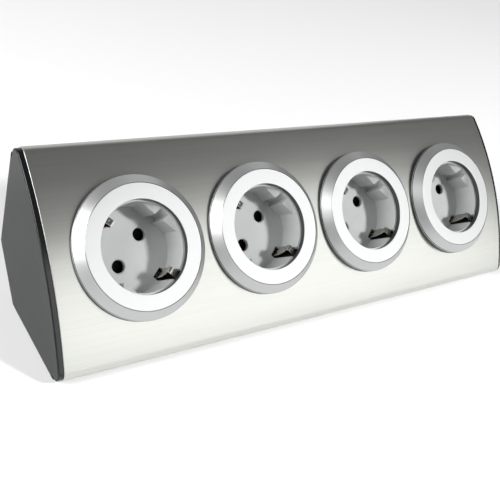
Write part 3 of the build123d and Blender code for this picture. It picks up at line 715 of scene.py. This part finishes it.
def coil_spring(number):
    node, steps = f"shutter_spring_{number}", steps_in_turn * spring_turns
    run = spring_length - spring_wire - 2 * spring_gap
    bm = bmesh.new()
    stand = Matrix.Translation((spring_radius, 0, -run / 2)) @ Matrix.Rotation(pi / 2, 4, "X")
    bmesh.ops.create_circle(bm, segments=8, radius=spring_wire / 2, matrix=stand)
    bmesh.ops.spin(
        bm, geom=bm.verts[:] + bm.edges[:], cent=(0, 0, 0), axis=(0, 0, 1), dvec=(0, 0, run / steps),
        angle=spring_turns * tau, steps=steps,
    )
    bmesh.ops.holes_fill(bm, edges=bm.edges, sides=0)
    bmesh.ops.recalc_face_normals(bm, faces=bm.faces)
    joint = next(item for item in frame["joints"] if item["name"] == f"shutter_{number}_slide")
    way = Vector(joint["axis"]).normalized()
    low, high = (Vector(corner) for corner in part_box(node))
    middle = (low + high) / 2
    turn = way.to_track_quat("Z", "Y").to_matrix().to_4x4()
    bm.transform(Matrix.Translation(middle) @ turn @ Matrix.Scale(MM, 4))
    piece = finished(bm, f"coil_spring_{number}", node)
    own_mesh(piece)
    return piece

for number in socket_numbers:
    spring = coil_spring(number)
print("springs:", len(spring.data.polygons), "faces each")

# %% [markdown]
# The strip stands on a plain pale floor. A curved backdrop would hide the horizon in one
# view and stand in the way of the views from behind, so the floor is one flat plane. It is
# lit a little from within, as a white acrylic table is, so that it stays pale to the eye.
# Far out, where the lamps don't reach, it glows more, which makes the step to the sky small.

# %% Floor
floor_reach, floor_paint = 4.0, "D0D0D0"
near_glow, far_glow = 0.2, 0.47
glow_starts, glow_ends = 0.7, 2.4

def pale_floor():
    bm = bmesh.new()
    bmesh.ops.create_grid(bm, x_segments=2, y_segments=2, size=floor_reach)
    mesh = bpy.data.meshes.new("studio_floor")
    bm.to_mesh(mesh)
    bm.free()
    material = new_material("white_studio_floor")
    place = add(material, "TexCoord").outputs["Object"]
    distance = add(material, "VectorMath", {0: place}, operation="LENGTH").outputs["Value"]
    surface(material, {
        "Base Color": linear(floor_paint), "Roughness": 0.9, "Specular IOR Level": 0.0,
        "Emission Color": linear("FFFFFF"),
        "Emission Strength": add(material, "MapRange", {
            "Value": distance, "From Min": glow_starts, "From Max": glow_ends,
            "To Min": near_glow, "To Max": far_glow,
        }).outputs["Result"],
    })
    mesh.materials.append(material)
    item = bpy.data.objects.new("studio_floor", mesh)
    bpy.context.scene.collection.objects.link(item)

pale_floor()
print("floor reaches", floor_reach, "m each way and glows from", near_glow, "to", far_glow)

# %% [markdown]
# Metal looks like what it mirrors, so most of the lighting is what the strip sees. A wide
# front softbox brightens the foot of the steel and the flat rings, and one behind gives the
# cover and the top edge something to mirror. Both show in reflections alone, because as
# lamps they would fill the cups with light. A lamp on the left draws the bright edge on each
# ring, and a small hard key lamp throws the shadow into the cups. It is kept out of
# reflections, where it would be a hot spot. Equal lamps all round would be simpler, but they
# would leave the rings flat.

# %% Softboxes and lamps
def softbox(name, way, distance, width, height, radiance):
    """A rectangle that faces the strip. Its power follows from how bright it looks."""
    data = bpy.data.lights.new(name, "AREA")
    data.shape, data.size, data.size_y = "RECTANGLE", width, height
    data.energy = radiance * pi * width * height
    lamp = bpy.data.objects.new(name, data)
    aim = Vector(way).normalized()
    facing = aim.to_track_quat("Z", "Y").to_matrix().to_4x4()
    lamp.matrix_world = Matrix.Translation(aim * distance) @ facing
    bpy.context.scene.collection.objects.link(lamp)
    return lamp

front_light = softbox(
    "front_softbox", way=(0.510, -0.743, 0.434), distance=1.6, width=1.42, height=1.26,
    radiance=1.58,
)
back_light = softbox(
    "back_softbox", way=(0.25, 0.85, 0.45), distance=1.8, width=2.2, height=1.2, radiance=0.65,
)
front_light.visible_diffuse = back_light.visible_diffuse = False
softbox(
    "left_lamp", way=(-0.81, 0.01, 0.585), distance=1.1, width=0.6, height=0.6, radiance=11.0,
)
key = softbox(
    "key_lamp", way=(0.53, -0.58, 0.62), distance=1.6, width=0.18, height=0.18, radiance=290.0,
)
key.visible_glossy = False

# %% [markdown]
# Brushed steel that leans back mirrors a broad band of the room, so a sky of one brightness
# would leave it flat. This sky is pale at the horizon and fades to grey overhead, and the
# front fades upwards with it. The height in the sky is turned into a falloff by a power.

# %% Sky
def studio_sky(horizon, top, falloff):
    """Horizon and top are brightnesses. With a higher falloff the grey begins lower."""
    world = bpy.data.worlds.new("studio_sky")
    world.use_nodes = True
    way = add(world, "TexCoord").outputs["Generated"]
    height = add(world, "SeparateXYZ", {"Vector": way}).outputs["Z"]
    low = add(world, "MapRange", {"Value": height, "To Min": 1.0, "To Max": 0.0}).outputs["Result"]
    fade = add(world, "Math", {0: low, 1: falloff}, operation="POWER").outputs["Value"]
    level = add(world, "MapRange", {"Value": fade, "To Min": top, "To Max": horizon})
    background = world.node_tree.nodes["Background"]
    background.inputs["Color"].default_value = linear("FFFFFF")
    world.node_tree.links.new(level.outputs["Result"], background.inputs["Strength"])
    return world

bpy.context.scene.world = studio_sky(horizon=0.62, top=0.15, falloff=5.0)
print("sky:", bpy.context.scene.world.name)
